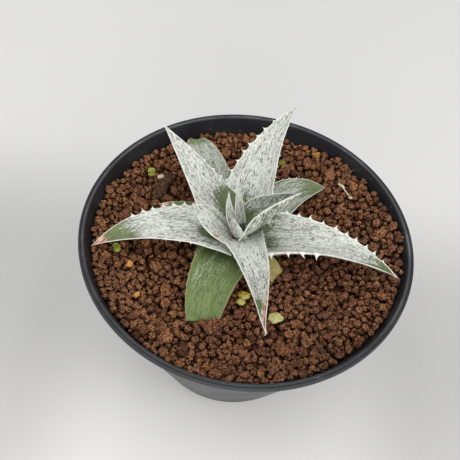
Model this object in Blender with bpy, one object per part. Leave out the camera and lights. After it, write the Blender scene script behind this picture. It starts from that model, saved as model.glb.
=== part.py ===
"""Potted dyckia: a rosette of stiff, spiny leaves growing in a shallow round plastic pot.

Metres, +Z up. The origin is the middle of the pot's foot, on the surface that the pot stands on.
+X is to the right and -Y to the front, where one old leaf leans out over the soil.
"""
import math
from dataclasses import dataclass
from random import Random

import bmesh
import bpy
from mathutils import Vector, noise

MM = 0.001
CLEARANCE = 0.3 * MM              # kept between pieces that touch

# Pot
POT_RADIUS = 60 * MM              # outside of the lip
POT_HEIGHT = 72 * MM
POT_BASE_RADIUS = 34 * MM         # outside of the foot
POT_WALL = 1.2 * MM
LIP_OVERHANG = 1.0 * MM           # how far the lip stands out from the wall
LIP_DEPTH = 1.6 * MM              # height of the lip's outer band
FOOT_HEIGHT = 3.0 * MM            # the floor hangs this far above the ground
FOOT_WIDTH = 2.2 * MM
NOTCH_COUNT = 4                   # drainage notches in the foot
NOTCH_WIDTH = 14 * MM
NOTCH_HEIGHT = 2.6 * MM
NOTCH_ANGLE = 22                  # degrees, first notch from +X
DRAIN_RADIUS = 4 * MM
DRAIN_CIRCLE = 20 * MM            # circle of the outer drain holes
POT_SEGMENTS = 72

# Soil
HEADSPACE = 9.5 * MM              # soil surface around the plant, below the pot's rim
SOIL_LUMP = 0.7 * MM              # height of the crumbs' unevenness
SOIL_LUMP_SIZE = 6 * MM
SOIL_BANK = 4.2 * MM              # the soil rises towards the wall
SOIL_BANK_RIGHT = 1.5 * MM        # more at +X than at -X
SOIL_BANK_SIDES = 1.8 * MM        # and more at both than at the front and back
SOIL_HOLLOW = 3.0 * MM            # it lies lower again in one place at the wall
SOIL_HOLLOW_ANGLE = -60           # degrees
SOIL_RINGS = 12
SOIL_SECTORS = 48

# Plant
PLANT_X = -2.5 * MM               # the stem stands a little off the pot's middle
PLANT_Y = -1.0 * MM
RIM_REACH = 4.6 * MM              # the longest leaf stops this far inside the pot's lip
LONGEST_REACH = 55.4 * MM         # reach of the longest leaf as drawn in LEAVES
STEM_RADIUS = 3.4 * MM            # at the soil
STEM_TAPER = 0.15                 # radius lost for each unit of height above the soil
STEM_HEIGHT = 14.5 * MM
ROOT_DEPTH = 24 * MM
ROOT_RADIUS = 1.2 * MM
ROOT_COUNT = 5
ROOT_SPREAD = 16 * MM
ROOT_SWAY = 1.2 * MM
ROOT_STEPS = 7
ROOT_THINNING = 0.6               # share of the radius lost towards a root's tip
CROWN_DEPTH = 2.0                 # the roots start this many stem radii below the soil

# Leaves
LEAF_THICKNESS = 2.0 * MM         # at the base of a full-grown leaf
TIP_THINNING = 0.4                # share of the base thickness left at the tip
NECK_WIDTH = 2.6 * MM             # where a leaf meets the stem
NECK_LENGTH = 11 * MM             # and reaches its full width
SPINE_LENGTH = 1.2 * MM
SPINE_BASE = 1.3 * MM
SPINE_SPACING = 4.2 * MM
FIRST_SPINE = 9 * MM
LAST_SPINE = 5 * MM               # from the tip
SPINE_LEAN = 0.4                  # how far a spine leans to the tip, in its lengths
FULL_WIDTH = 12                   # mm; a narrower leaf is thinner in proportion
SHORT_LEAF = 30 * MM              # a shorter leaf has its last spine nearer to the tip
SHORT_NECK = 0.35                 # a neck takes at most this share of a leaf
SPINELESS = 0.45                  # and the first spine stands within this share
NECK_EASE = 1.2                   # above 1, the neck widens late
SHOULDER = 0.8                    # thickness halfway to the edge, as a share of the keel's

# Room that a pressing leaf gets in the piece that it dents, in clearances
ROOM_BESIDE = 3
ROOM_BELOW = 1.4
ROOM_ABOVE = 1.5
ROOM_OVER_EDGE = 1.2
ROOM_AHEAD = 2

SEED = 4


@dataclass
class Leaf:
    """One leaf. Angles are in degrees and lengths in millimetres.

    azimuth and rise are its heading at the stem, turn and dip how much they have changed at the
    tip. The outline narrows as width * (1 - s ** fullness); kept is the share of the outline that
    shows before the leaf runs into the soil. level is the height of the base above the soil.
    """
    name: str
    azimuth: float
    turn: float
    rise: float
    dip: float
    length: float
    width: float
    fullness: float
    level: float
    fold: float = 10
    twist: float = 0
    kept: float = 1


LEAVES = (
    # the old ring, low over the soil
    Leaf("leaf_low_back", 125, -14, 31, -35, 45, 16.7, 4.0, 1.6),
    Leaf("leaf_low_right", 60, -29, 37, -70, 43, 17, 2.7, 2.6, fold=15),
    Leaf("leaf_low_left", 156, 3, 27, -46, 31, 15, 2.4, 0.8, fold=12, twist=-6),
    Leaf("leaf_low_front_left", -118, 29, 31, -66, 32, 19.5, 2.4, 2.1, fold=18, kept=0.72),
    Leaf("leaf_low_front_right", -34, 0, 28, -68, 16, 9, 3.0, 1.6, kept=0.7),
    # the full-grown ring
    Leaf("leaf_upper_back_left", 139, 4, 39.5, -14, 46, 21, 1.25, 6.8, fold=3, twist=6),
    Leaf("leaf_upper_back_right", 92, -42, 40, -8, 51.5, 20.5, 1.85, 4.6, fold=12, twist=-10),
    Leaf("leaf_upper_right", -2, -14, 32, -56, 55.5, 23.5, 1.3, 5.2, fold=27),
    Leaf("leaf_upper_left", 184, 20, 31, -66, 52.5, 18.5, 1.9, 8.2, fold=4, twist=-4),
    Leaf("leaf_upper_front", -69, -17, 31, -28, 45.5, 19.5, 0.75, 7.8, fold=16, twist=14),
    # young leaves in the heart
    Leaf("leaf_inner_left", -158, -22, 57, -10, 24, 11.5, 3.3, 8.4, fold=5, twist=-30),
    Leaf("leaf_inner_right", 6, 3, 73, -28, 27.5, 23, 1.25, 10.3, fold=48, twist=-20),
    Leaf("leaf_heart_back", 118, 0, 62, 21, 19.5, 4.4, 2.0, 12.2, fold=44),
    Leaf("leaf_heart_back_left", 170, -60, 64, 22, 18.5, 4.6, 1.8, 10.4, fold=25, twist=-14),
    Leaf("leaf_heart_front", -117, 0, 64, 15, 16.5, 6.5, 2.0, 11.4, fold=20),
    Leaf("leaf_heart_left", 205, 0, 66, 0, 10, 3.2, 1.7, 13.6, fold=20),
)

# pairs that press on each other: the first leaf is dented by the second
PRESSED = (
    ("leaf_upper_back_left", "leaf_upper_left"),
    ("leaf_upper_back_right", "leaf_upper_back_left"),
    ("leaf_low_left", "leaf_low_back"),
    ("leaf_upper_left", "leaf_inner_left"),
    ("leaf_low_back", "leaf_upper_back_left"),
    ("leaf_heart_front", "leaf_inner_right"),
)
LYING_ON_SOIL = 5                 # the first leaves of the list sink into the soil


@dataclass
class Crumb:
    """A loose bit lying on the soil: where it lies and its size, in millimetres."""
    name: str
    x: float
    y: float
    length: float
    width: float
    height: float
    turn: float                   # degrees about +Z
    colour: tuple


WHITE = (0.80, 0.78, 0.72)
YELLOW = (0.55, 0.44, 0.08)
GREEN = (0.32, 0.36, 0.10)
ORANGE = (0.55, 0.25, 0.07)
BARK = (0.05, 0.035, 0.03)

CRUMBS = (
    Crumb("grit_yellow_front", 0.8, -22.6, 4.4, 3.0, 2.2, 110, YELLOW),
    Crumb("grit_pale_front", 13.5, -28.4, 4.6, 3.4, 2.0, 20, YELLOW),
    Crumb("grit_yellow_back", 23.7, 47.4, 2.8, 2.2, 2.0, 65, YELLOW),
    Crumb("grit_green_left", -45.6, -10.6, 3.2, 2.4, 2.0, 30, GREEN),
    Crumb("grit_orange_left", -39.9, -16.4, 3.0, 2.4, 2.2, 70, ORANGE),
    Crumb("pebble_white_left", -36.2, 25.7, 2.4, 2.0, 1.8, 10, WHITE),
    Crumb("chip_white_right", 35.6, 30.7, 6.8, 1.8, 1.6, -52, WHITE),
    Crumb("bark_chunk", -34.2, 21.2, 12.5, 4.0, 3.0, 70, BARK),
)

SOIL_TOP = POT_HEIGHT - HEADSPACE
FLOOR_TOP = FOOT_HEIGHT + POT_WALL
PLANT_SCALE = (POT_RADIUS - RIM_REACH) / LONGEST_REACH


def wall_outside(z):
    """Radius of the pot's straight, flaring wall at height z."""
    return POT_BASE_RADIUS + (POT_RADIUS - LIP_OVERHANG - POT_BASE_RADIUS) * z / POT_HEIGHT


def wall_inside(z):
    return wall_outside(z) - POT_WALL


def material(name, colour, roughness):
    surface = bpy.data.materials.new(name)
    surface.use_nodes = True
    shader = surface.node_tree.nodes["Principled BSDF"]
    shader.inputs["Base Color"].default_value = (*colour, 1)
    shader.inputs["Roughness"].default_value = roughness
    surface.diffuse_color = (*colour, 1)
    return surface


def add_object(name, build, surface, sharp=40):
    """Make an object of a bmesh, shaded smooth apart from edges sharper than the angle."""
    bmesh.ops.recalc_face_normals(build, faces=build.faces)
    mesh = bpy.data.meshes.new(name)
    build.to_mesh(mesh)
    build.free()
    mesh.shade_smooth()
    mesh.set_sharp_from_angle(angle=math.radians(sharp))
    if surface:
        mesh.materials.append(surface)
    thing = bpy.data.objects.new(name, mesh)
    bpy.context.collection.objects.link(thing)
    return thing


def boolean(thing, cutter, operation):
    cut = thing.modifiers.new(f"{operation.lower()}_{cutter.name}", "BOOLEAN")
    cut.object = cutter
    cut.operation = operation
    cut.solver = "EXACT"
    cutter.hide_render = True
    cutter.display_type = "WIRE"


def skin(build, rings, start=None, end=None):
    """Join rings of points into a closed surface, ending in a point or a flat cap at each end."""
    loops = [[build.verts.new(point) for point in ring] for ring in rings]
    for low, high in zip(loops, loops[1:]):
        for i, corner in enumerate(low):
            j = (i + 1) % len(low)
            build.faces.new((corner, low[j], high[j], high[i]))
    for loop, tip in ((loops[0], start), (loops[-1], end)):
        if tip is None:
            build.faces.new(loop)
            continue
        apex = build.verts.new(tip)
        for i, corner in enumerate(loop):
            build.faces.new((corner, loop[(i + 1) % len(loop)], apex))


def turned(build, profile, segments, x=0.0, y=0.0):
    """Turn a profile of (radius, height) points about the vertical; its ends lie on the axis."""
    angles = [2 * math.pi * i / segments for i in range(segments)]
    rings = [[(x + r * math.cos(a), y + r * math.sin(a), z) for a in angles]
             for r, z in profile[1:-1]]
    skin(build, rings, (x, y, profile[0][1]), (x, y, profile[-1][1]))


def tube(build, points, radii, sides=8):
    """A tapering round root along its points."""
    rings = []
    for i, point in enumerate(points):
        ahead = (points[min(i + 1, len(points) - 1)] - points[max(i - 1, 0)]).normalized()
        across = ahead.cross(Vector((0, 0, 1))).normalized()
        up = across.cross(ahead)
        angles = [2 * math.pi * k / sides for k in range(sides)]
        rings.append([point + radii[i] * (across * math.cos(a) + up * math.sin(a)) for a in angles])
    skin(build, rings)


# Pot ----------------------------------------------------------------------------------------

def make_pot():
    band = POT_HEIGHT - LIP_DEPTH
    foot_inside = POT_BASE_RADIUS - FOOT_WIDTH
    profile = [
        (0, FOOT_HEIGHT),
        (foot_inside, FOOT_HEIGHT),
        (foot_inside, 0),
        (POT_BASE_RADIUS, 0),
        (wall_outside(band), band),
        (POT_RADIUS, band),
        (POT_RADIUS, POT_HEIGHT),
        (wall_inside(POT_HEIGHT), POT_HEIGHT),
        (wall_inside(FLOOR_TOP), FLOOR_TOP),
        (0, FLOOR_TOP),
    ]
    build = bmesh.new()
    turned(build, profile, POT_SEGMENTS)
    pot = add_object("pot", build, material("black_plastic", (0.018, 0.018, 0.020), 0.42))
    boolean(pot, notch_cutter(foot_inside), "DIFFERENCE")
    boolean(pot, drain_cutter(), "DIFFERENCE")
    return pot


def notch_cutter(foot_inside):
    """Half-round notches across the foot, which let the water out from under the pot."""
    build = bmesh.new()
    sides = 24
    near = foot_inside - FOOT_WIDTH
    far = POT_BASE_RADIUS + FOOT_WIDTH
    for k in range(NOTCH_COUNT):
        heading = math.radians(NOTCH_ANGLE) + 2 * math.pi * k / NOTCH_COUNT
        out = Vector((math.cos(heading), math.sin(heading), 0))
        across = Vector((-out.y, out.x, 0))
        rings = []
        for radius in (near, far):
            ring = []
            for i in range(sides):
                a = 2 * math.pi * i / sides
                sideways = across * (NOTCH_WIDTH / 2 * math.cos(a))
                ring.append(out * radius + sideways + Vector((0, 0, NOTCH_HEIGHT * math.sin(a))))
            rings.append(ring)
        skin(build, rings)
    return add_object("notch_cutter", build, None)


def drain_cutter():
    """One drain hole in the middle of the floor and one in line with each notch."""
    build = bmesh.new()
    low, high = FOOT_HEIGHT - POT_WALL, FLOOR_TOP + POT_WALL
    places = [(0, 0)]
    for k in range(NOTCH_COUNT):
        heading = math.radians(NOTCH_ANGLE) + 2 * math.pi * k / NOTCH_COUNT
        places.append((DRAIN_CIRCLE * math.cos(heading), DRAIN_CIRCLE * math.sin(heading)))
    for x, y in places:
        turned(build, [(0, low), (DRAIN_RADIUS, low), (DRAIN_RADIUS, high), (0, high)], 20, x, y)
    return add_object("drain_cutter", build, None)


# Soil ---------------------------------------------------------------------------------------

def soil_height(x, y):
    """Height of the crumbly soil's surface."""
    out = min(1, math.hypot(x, y) / wall_inside(SOIL_TOP))
    lumps = SOIL_LUMP * noise.noise(Vector((x, y, SEED * SOIL_LUMP_SIZE)) / SOIL_LUMP_SIZE)
    around = math.atan2(y, x)
    bank = SOIL_BANK + SOIL_BANK_RIGHT * math.cos(around) + SOIL_BANK_SIDES * math.cos(2 * around)
    off = around - math.radians(SOIL_HOLLOW_ANGLE)
    hollow = SOIL_HOLLOW * max(0, math.cos(off)) ** 6
    return SOIL_TOP + lumps + (bank - hollow) * out ** 4


def make_soil():
    angles = [2 * math.pi * i / SOIL_SECTORS for i in range(SOIL_SECTORS)]
    bottom = FLOOR_TOP + CLEARANCE
    low = wall_inside(bottom) - CLEARANCE
    rings = [[(low * math.cos(a), low * math.sin(a), bottom) for a in angles]]
    edge = []
    for a in angles:
        reach = wall_inside(SOIL_TOP) - CLEARANCE
        z = soil_height(reach * math.cos(a), reach * math.sin(a))
        reach = wall_inside(z) - CLEARANCE
        edge.append((reach * math.cos(a), reach * math.sin(a), z))
    rings.append(edge)
    for k in range(SOIL_RINGS - 1, 0, -1):
        share = k / SOIL_RINGS
        ring = [(x * share, y * share, soil_height(x * share, y * share)) for x, y, _ in edge]
        rings.append(ring)
    build = bmesh.new()
    skin(build, rings, (0, 0, bottom), (0, 0, soil_height(0, 0)))
    soil = add_object("soil", build, material("akadama_soil", (0.20, 0.09, 0.05), 0.95), sharp=80)
    boolean(soil, stem_object("stem_socket", CLEARANCE), "DIFFERENCE")
    for leaf in LEAVES[:LYING_ON_SOIL]:
        boolean(soil, leaf_cutter(leaf), "DIFFERENCE")
    return soil


# Stem and roots -----------------------------------------------------------------------------

def stem_radius(height):
    """Radius of the stem at a height above the soil."""
    return (STEM_RADIUS - STEM_TAPER * height) * PLANT_SCALE


def stem_object(name, grow=0.0, surface=None):
    """The short stem and its main roots; a positive grow gives the space they need."""
    top = STEM_HEIGHT * PLANT_SCALE
    crown = SOIL_TOP - CROWN_DEPTH * STEM_RADIUS * PLANT_SCALE
    profile = [
        (0, crown - grow),
        (0.6 * STEM_RADIUS * PLANT_SCALE + grow, crown - grow),
        (STEM_RADIUS * PLANT_SCALE + grow, crown + STEM_RADIUS * PLANT_SCALE),
        (stem_radius(0) + grow, SOIL_TOP),
        (stem_radius(STEM_HEIGHT) + grow, SOIL_TOP + top - STEM_RADIUS / 4),
        (0.5 * stem_radius(STEM_HEIGHT) + grow, SOIL_TOP + top + grow),
        (0, SOIL_TOP + top + grow),
    ]
    build = bmesh.new()
    turned(build, profile, 20, PLANT_X, PLANT_Y)
    stem = add_object(name, build, surface)
    for k in range(ROOT_COUNT):
        root = root_object(f"{name}_root_{k + 1}", k, crown, grow)
        boolean(stem, root, "UNION")
    return stem


def root_object(name, k, crown, grow):
    heading = 2 * math.pi * (k + 0.3) / ROOT_COUNT
    out = Vector((math.cos(heading), math.sin(heading), 0))
    start = Vector((PLANT_X, PLANT_Y, crown + STEM_RADIUS * PLANT_SCALE / 2))
    points, radii = [], []
    for i in range(ROOT_STEPS):
        s = i / (ROOT_STEPS - 1)
        sway = ROOT_SWAY * math.sin(2.5 * math.pi * s + k)
        along = ROOT_SPREAD * PLANT_SCALE * s ** 0.8
        down = (ROOT_DEPTH - CROWN_DEPTH * STEM_RADIUS) * PLANT_SCALE * s ** 1.3
        side = Vector((-out.y, out.x, 0)) * sway * s
        points.append(start + out * along + side - Vector((0, 0, down)))
        radii.append(ROOT_RADIUS * (1 - ROOT_THINNING * s) + grow)
    points[-1] += (points[-1] - points[-2]).normalized() * grow
    build = bmesh.new()
    tube(build, points, radii)
    return add_object(name, build, None)


# Leaves -------------------------------------------------------------------------------------

def leaf_heading(leaf, s):
    azimuth = math.radians(leaf.azimuth + leaf.turn * s)
    rise = math.radians(leaf.rise + leaf.dip * s)
    flat = math.cos(rise)
    return Vector((flat * math.cos(azimuth), flat * math.sin(azimuth), math.sin(rise)))


def leaf_stations(leaf, length):
    """Shares of the length where the leaf has a section, and whether spines stand there."""
    neck = min(NECK_LENGTH * PLANT_SCALE, SHORT_NECK * length)
    first = min(FIRST_SPINE * PLANT_SCALE, SPINELESS * length)
    last = length - LAST_SPINE * min(1, length / SHORT_LEAF) * leaf.kept
    gaps = max(1, round((last - first) / SPINE_SPACING))
    stations = [(0, False), (0.35 * neck, False), (0.7 * neck, False)]
    for k in range(gaps + 1):
        at = first + (last - first) * k / gaps
        stations.append((at - SPINE_BASE / 2, False))
        stations.append((at, True))
        stations.append((at + SPINE_BASE / 2, False))
    end = length if leaf.kept < 1 else length - SPINE_BASE
    stations.append((end, False))
    return [(at / length, spiny) for at, spiny in stations], neck / length


def leaf_surface(build, leaf, grow=0.0):
    """A channelled, keeled leaf; a positive grow gives the space that it needs around it."""
    scale = MM * PLANT_SCALE
    length = leaf.length * scale
    stations, neck = leaf_stations(leaf, length)
    base_thickness = LEAF_THICKNESS * PLANT_SCALE * min(1, leaf.width / FULL_WIDTH)
    azimuth = math.radians(leaf.azimuth)
    away = stem_radius(leaf.level * MM) + CLEARANCE + base_thickness / 2
    centre = Vector((PLANT_X + away * math.cos(azimuth), PLANT_Y + away * math.sin(azimuth),
                     SOIL_TOP + leaf.level * scale))
    fold = math.radians(leaf.fold)
    rings = []
    before = 0
    for s, spiny in stations:
        centre = centre + leaf_heading(leaf, (before + s) / 2) * (s - before) * length
        before = s
        along = leaf_heading(leaf, s)
        level = Vector((0, 0, 1)).cross(along).normalized()
        over = along.cross(level)
        twist = math.radians(leaf.twist * s)
        across = level * math.cos(twist) + over * math.sin(twist)
        up = over * math.cos(twist) - level * math.sin(twist)
        full = leaf.width * scale * (1 - (s * leaf.kept) ** leaf.fullness)
        opened = min(1, s / neck) ** NECK_EASE
        narrow = min(NECK_WIDTH * PLANT_SCALE, 0.45 * leaf.width * scale)
        half = (narrow + (full - narrow) * opened) / 2 + ROOM_BESIDE * grow
        thick = base_thickness * (1 - (1 - TIP_THINNING) * s) + ROOM_BELOW * grow
        left = across * math.cos(fold) + up * math.sin(fold)
        right = up * math.sin(fold) - across * math.cos(fold)
        spine = SPINE_LENGTH if spiny else 0
        point = along * spine * SPINE_LEAN
        left_edge = centre + left * (half + spine) + point
        right_edge = centre + right * (half + spine) + point
        ring = [
            right_edge,
            centre + right * half * 0.5 - up * thick * SHOULDER,
            centre - up * thick,
            centre + left * half * 0.5 - up * thick * SHOULDER,
            left_edge,
            centre + up * grow * ROOM_ABOVE,
        ]
        if grow:
            ring.insert(5, left_edge + up * grow * ROOM_OVER_EDGE)
            ring.append(right_edge + up * grow * ROOM_OVER_EDGE)
        rings.append(ring)
    rings[0] = [corner - leaf_heading(leaf, 0) * grow for corner in rings[0]]
    if leaf.kept < 1:
        rings[-1] = [corner + along * grow for corner in rings[-1]]
        skin(build, rings)
    else:
        tip = centre + leaf_heading(leaf, 1) * ((1 - before) * length + ROOM_AHEAD * grow)
        skin(build, rings, end=tip)


def leaf_cutter(leaf):
    """The space that a leaf needs, to cut from what it presses on."""
    build = bmesh.new()
    leaf_surface(build, leaf, CLEARANCE)
    return add_object(f"{leaf.name}_space", build, None)


def make_leaves():
    green = (0.42, 0.47, 0.40)
    by_name = {leaf.name: leaf for leaf in LEAVES}
    made = {}
    for leaf in LEAVES:
        build = bmesh.new()
        leaf_surface(build, leaf)
        made[leaf.name] = add_object(leaf.name, build, material(leaf.name, green, 0.7), sharp=60)
    for dented, pressing in PRESSED:
        boolean(made[dented], leaf_cutter(by_name[pressing]), "DIFFERENCE")


# Loose bits on the soil ---------------------------------------------------------------------

def make_crumbs():
    rng = Random(SEED)
    for crumb in CRUMBS:
        build = bmesh.new()
        bmesh.ops.create_icosphere(build, subdivisions=2, radius=0.5)
        turn = math.radians(crumb.turn)
        shift = Vector([rng.uniform(0, 50) for _ in range(3)])
        for corner in build.verts:
            lump = 1 + 0.25 * noise.noise(corner.co * 2 + shift)
            x = corner.co.x * crumb.length * MM * lump
            y = corner.co.y * crumb.width * MM * lump
            corner.co = Vector((x * math.cos(turn) - y * math.sin(turn),
                                x * math.sin(turn) + y * math.cos(turn),
                                corner.co.z * crumb.height * MM * lump))
        place = Vector((crumb.x * PLANT_SCALE * MM, crumb.y * PLANT_SCALE * MM, 0))
        lift = max(soil_height(place.x + v.co.x, place.y + v.co.y) - v.co.z
                   for v in build.verts if v.co.z < 0)
        place.z = lift + 1.5 * CLEARANCE
        bmesh.ops.translate(build, verts=build.verts, vec=place)
        add_object(crumb.name, build, material(crumb.name, crumb.colour, 0.8), sharp=80)


for old in list(bpy.data.objects):
    bpy.data.objects.remove(old)
make_pot()
make_soil()
stem_object("stem", surface=material("stem", (0.24, 0.20, 0.12), 0.8))
make_leaves()
make_crumbs()
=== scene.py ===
"""Looks of the potted dyckia: silver-scaled spiny leaves, clay granules and a black plastic pot.

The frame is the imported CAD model's: metres, +Z up, +X to the right, -Y to the front. Leaves,
granules and loose bits are worked out in millimetres, and so is every length without MM.
"""
import math
from dataclasses import dataclass
from itertools import product
from random import Random

import bmesh
import bpy
import numpy as np
from mathutils import Matrix, Vector, noise
from mathutils.bvhtree import BVHTree
from mathutils.kdtree import KDTree


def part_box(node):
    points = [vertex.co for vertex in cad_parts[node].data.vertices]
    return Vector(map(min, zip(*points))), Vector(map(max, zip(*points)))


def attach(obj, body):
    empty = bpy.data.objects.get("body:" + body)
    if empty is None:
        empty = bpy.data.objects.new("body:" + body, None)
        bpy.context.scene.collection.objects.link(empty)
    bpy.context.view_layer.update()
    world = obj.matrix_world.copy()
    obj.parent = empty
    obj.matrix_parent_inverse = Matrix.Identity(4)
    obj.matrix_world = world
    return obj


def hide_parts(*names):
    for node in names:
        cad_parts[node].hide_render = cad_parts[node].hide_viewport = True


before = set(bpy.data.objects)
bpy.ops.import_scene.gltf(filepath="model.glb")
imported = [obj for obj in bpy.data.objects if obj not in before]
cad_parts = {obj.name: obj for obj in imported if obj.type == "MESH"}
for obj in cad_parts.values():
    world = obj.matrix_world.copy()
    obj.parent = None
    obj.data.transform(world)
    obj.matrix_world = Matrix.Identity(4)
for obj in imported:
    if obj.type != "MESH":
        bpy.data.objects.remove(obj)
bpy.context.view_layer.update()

MM = 0.001
POT_RADIUS = 60 * MM
POT_HEIGHT = 72 * MM
POT_BASE_RADIUS = 34 * MM
POT_WALL = 1.2 * MM
LIP_OVERHANG = 1.0 * MM
FOOT_HEIGHT = 3.0 * MM
FOOT_WIDTH = 2.2 * MM
FLOOR_TOP = FOOT_HEIGHT + POT_WALL
NOTCH_COUNT = 4
NOTCH_WIDTH = 14 * MM
NOTCH_HEIGHT = 2.6 * MM
NOTCH_ANGLE = 22  # of the first, in degrees
DRAIN_RADIUS = 4 * MM
DRAIN_CIRCLE = 20 * MM
SOIL_TOP = 62.5 * MM
SOIL_BANK = 4.2 * MM
SOIL_BANK_RIGHT = 1.5 * MM
SOIL_BANK_SIDES = 1.8 * MM
SOIL_HOLLOW = 3.0 * MM
SOIL_HOLLOW_ANGLE = -60  # degrees
PLANT = Vector((-2.5, -1.0, 0)) * MM
STEM_RADIUS = 3.4
STEM_TAPER = 0.15  # for each millimetre upwards
LEAF_THICKNESS = 2.0
FULL_WIDTH = 12  # a narrower leaf is thinner in proportion
TIP_THINNING = 0.4  # share of the thickness left at the tip


# Camera, light and floor ------------

CAMERA_PLACE = Vector((-6.67, -149.92, 273.2)) * MM
CAMERA_LENS = 54.8
CAMERA_PITCH = 53.3  # degrees down
CAMERA_ROLL = 8.3
CAMERA_FAR = 10
LIGHTS = (  # name, place, power in watts, width
    ("window_right", (0.72, -0.25, 0.6), 1.9, 0.45),
    ("window_left", (-0.8, 0.3, 0.5), 1.5, 0.5),
    ("ceiling", (0.0, -0.1, 1.1), 5.2, 0.9),
    ("room_in_front", (0.05, -0.95, 0.3), 5.0, 0.7),
)
LIGHTS_AIM = Vector((0, 0, 0.05))
SKY_COLOUR = (0.93, 0.96, 1.0, 1)
SKY_STRENGTH = 0.42
FLOOR_REACH = 2.0


def aim(thing, forward, up):
    """Turn a camera or light at its place so that it looks along forward."""
    forward = forward.normalized()
    right = forward.cross(up).normalized()
    up = right.cross(forward)
    turn = Matrix((right, up, -forward)).transposed().to_4x4()
    thing.matrix_world = Matrix.Translation(thing.location) @ turn


def link(thing):
    bpy.context.scene.collection.objects.link(thing)
    return thing


def make_camera():
    lens = bpy.data.cameras.new("camera")
    lens.lens = CAMERA_LENS
    lens.clip_end = CAMERA_FAR
    camera = link(bpy.data.objects.new("camera", lens))
    camera.location = CAMERA_PLACE
    down, roll = math.radians(CAMERA_PITCH), math.radians(CAMERA_ROLL)
    forward = Vector((0, math.cos(down), -math.sin(down)))
    level_up = Vector((0, math.sin(down), math.cos(down)))
    aim(camera, forward, level_up * math.cos(roll) - Vector((1, 0, 0)) * math.sin(roll))
    bpy.context.scene.camera = camera


def make_light(name, place, power, width):
    lamp = bpy.data.lights.new(name, "AREA")
    lamp.energy = power
    lamp.size = width
    light = link(bpy.data.objects.new(name, lamp))
    light.location = Vector(place)
    aim(light, LIGHTS_AIM - light.location, Vector((0, 0, 1)))


def make_world():
    world = bpy.data.worlds.new("studio")
    world.use_nodes = True
    sky = world.node_tree.nodes["Background"]
    sky.inputs["Color"].default_value = SKY_COLOUR
    sky.inputs["Strength"].default_value = SKY_STRENGTH
    bpy.context.scene.world = world
    bpy.context.scene.view_settings.view_transform = "Standard"


def make_floor():
    build = bmesh.new()
    bmesh.ops.create_grid(build, x_segments=8, y_segments=8, size=FLOOR_REACH)
    built("floor", build, floor_look())


# Node trees ------------

class Look:
    """A procedural material, with short names for the nodes that it is built from."""

    def __init__(self, name, roughness, **constants):
        self.material = bpy.data.materials.new(name)
        self.material.use_nodes = True
        self.tree = self.material.node_tree
        self.shader = self.tree.nodes["Principled BSDF"]
        self.shader.inputs["Roughness"].default_value = roughness
        for socket, amount in constants.items():
            self.shader.inputs[socket.replace("_", " ")].default_value = amount

    def put(self, socket, value):
        if isinstance(value, bpy.types.NodeSocket):
            self.tree.links.new(value, socket)
        elif isinstance(value, tuple) and len(value) == 3 and socket.type == "RGBA":
            socket.default_value = (*value, 1)
        else:
            socket.default_value = value

    def node(self, kind, inputs, **settings):
        made = self.tree.nodes.new(kind)
        for key, value in settings.items():
            setattr(made, key, value)
        for key, value in inputs.items():
            self.put(made.inputs[key], value)
        return made

    def math(self, operation, value, *others):
        """Take the values together with one operation after another."""
        for other in others or (0.0,):
            inputs = {0: value, 1: other}
            value = self.node("ShaderNodeMath", inputs, operation=operation).outputs[0]
        return value

    def add(self, *terms):
        return self.math("ADD", *terms)

    def times(self, *factors):
        return self.math("MULTIPLY", *factors)

    def step(self, value, low, high, to_low=0.0, to_high=1.0):
        """A smooth step from to_low at low to to_high at high."""
        inputs = {"Value": value, "From Min": low, "From Max": high,
                  "To Min": to_low, "To Max": to_high}
        kind = "ShaderNodeMapRange"
        return self.node(kind, inputs, interpolation_type="SMOOTHSTEP").outputs["Result"]

    def mix(self, share, a, b):
        inputs = {0: share, 6: a, 7: b}
        return self.node("ShaderNodeMix", inputs, data_type="RGBA").outputs[2]

    def layers(self, colour, *layers):
        """Lay colours over the first, each given as (share, colour)."""
        for share, over in layers:
            colour = self.mix(share, colour, over)
        return colour

    def stretched(self, vector, x, y, z=1.0):
        inputs = {0: vector, 1: (x, y, z)}
        return self.node("ShaderNodeVectorMath", inputs, operation="MULTIPLY").outputs[0]

    def noise(self, vector, scale, detail=3.0, rough=0.55, warp=0.0):
        """Noise of one scale, or of one for each axis."""
        if isinstance(scale, tuple):
            vector, scale = self.stretched(vector, *scale), 1.0
        inputs = {"Vector": vector, "Scale": scale, "Detail": detail,
                  "Roughness": rough, "Distortion": warp}
        return self.node("ShaderNodeTexNoise", inputs).outputs["Fac"]

    def cells(self, vector, scale):
        inputs = {"Vector": vector, "Scale": scale}
        return self.node("ShaderNodeTexVoronoi", inputs).outputs["Distance"]

    def attribute(self, name):
        return self.node("ShaderNodeAttribute", {}, attribute_name=name).outputs["Vector"]

    def parts(self, vector):
        return tuple(self.node("ShaderNodeSeparateXYZ", {0: vector}).outputs)

    def place(self):
        """The point's place on the object, in millimetres."""
        spot = self.node("ShaderNodeTexCoord", {}).outputs["Object"]
        return self.stretched(spot, 1 / MM, 1 / MM, 1 / MM)

    def finish(self, colour, height, depth, roughness=None):
        self.put(self.shader.inputs["Base Color"], colour)
        if roughness is not None:
            self.put(self.shader.inputs["Roughness"], roughness)
        bump = self.node("ShaderNodeBump", {"Height": height, "Distance": depth})
        self.put(self.shader.inputs["Normal"], bump.outputs["Normal"])
        return self.material


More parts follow.
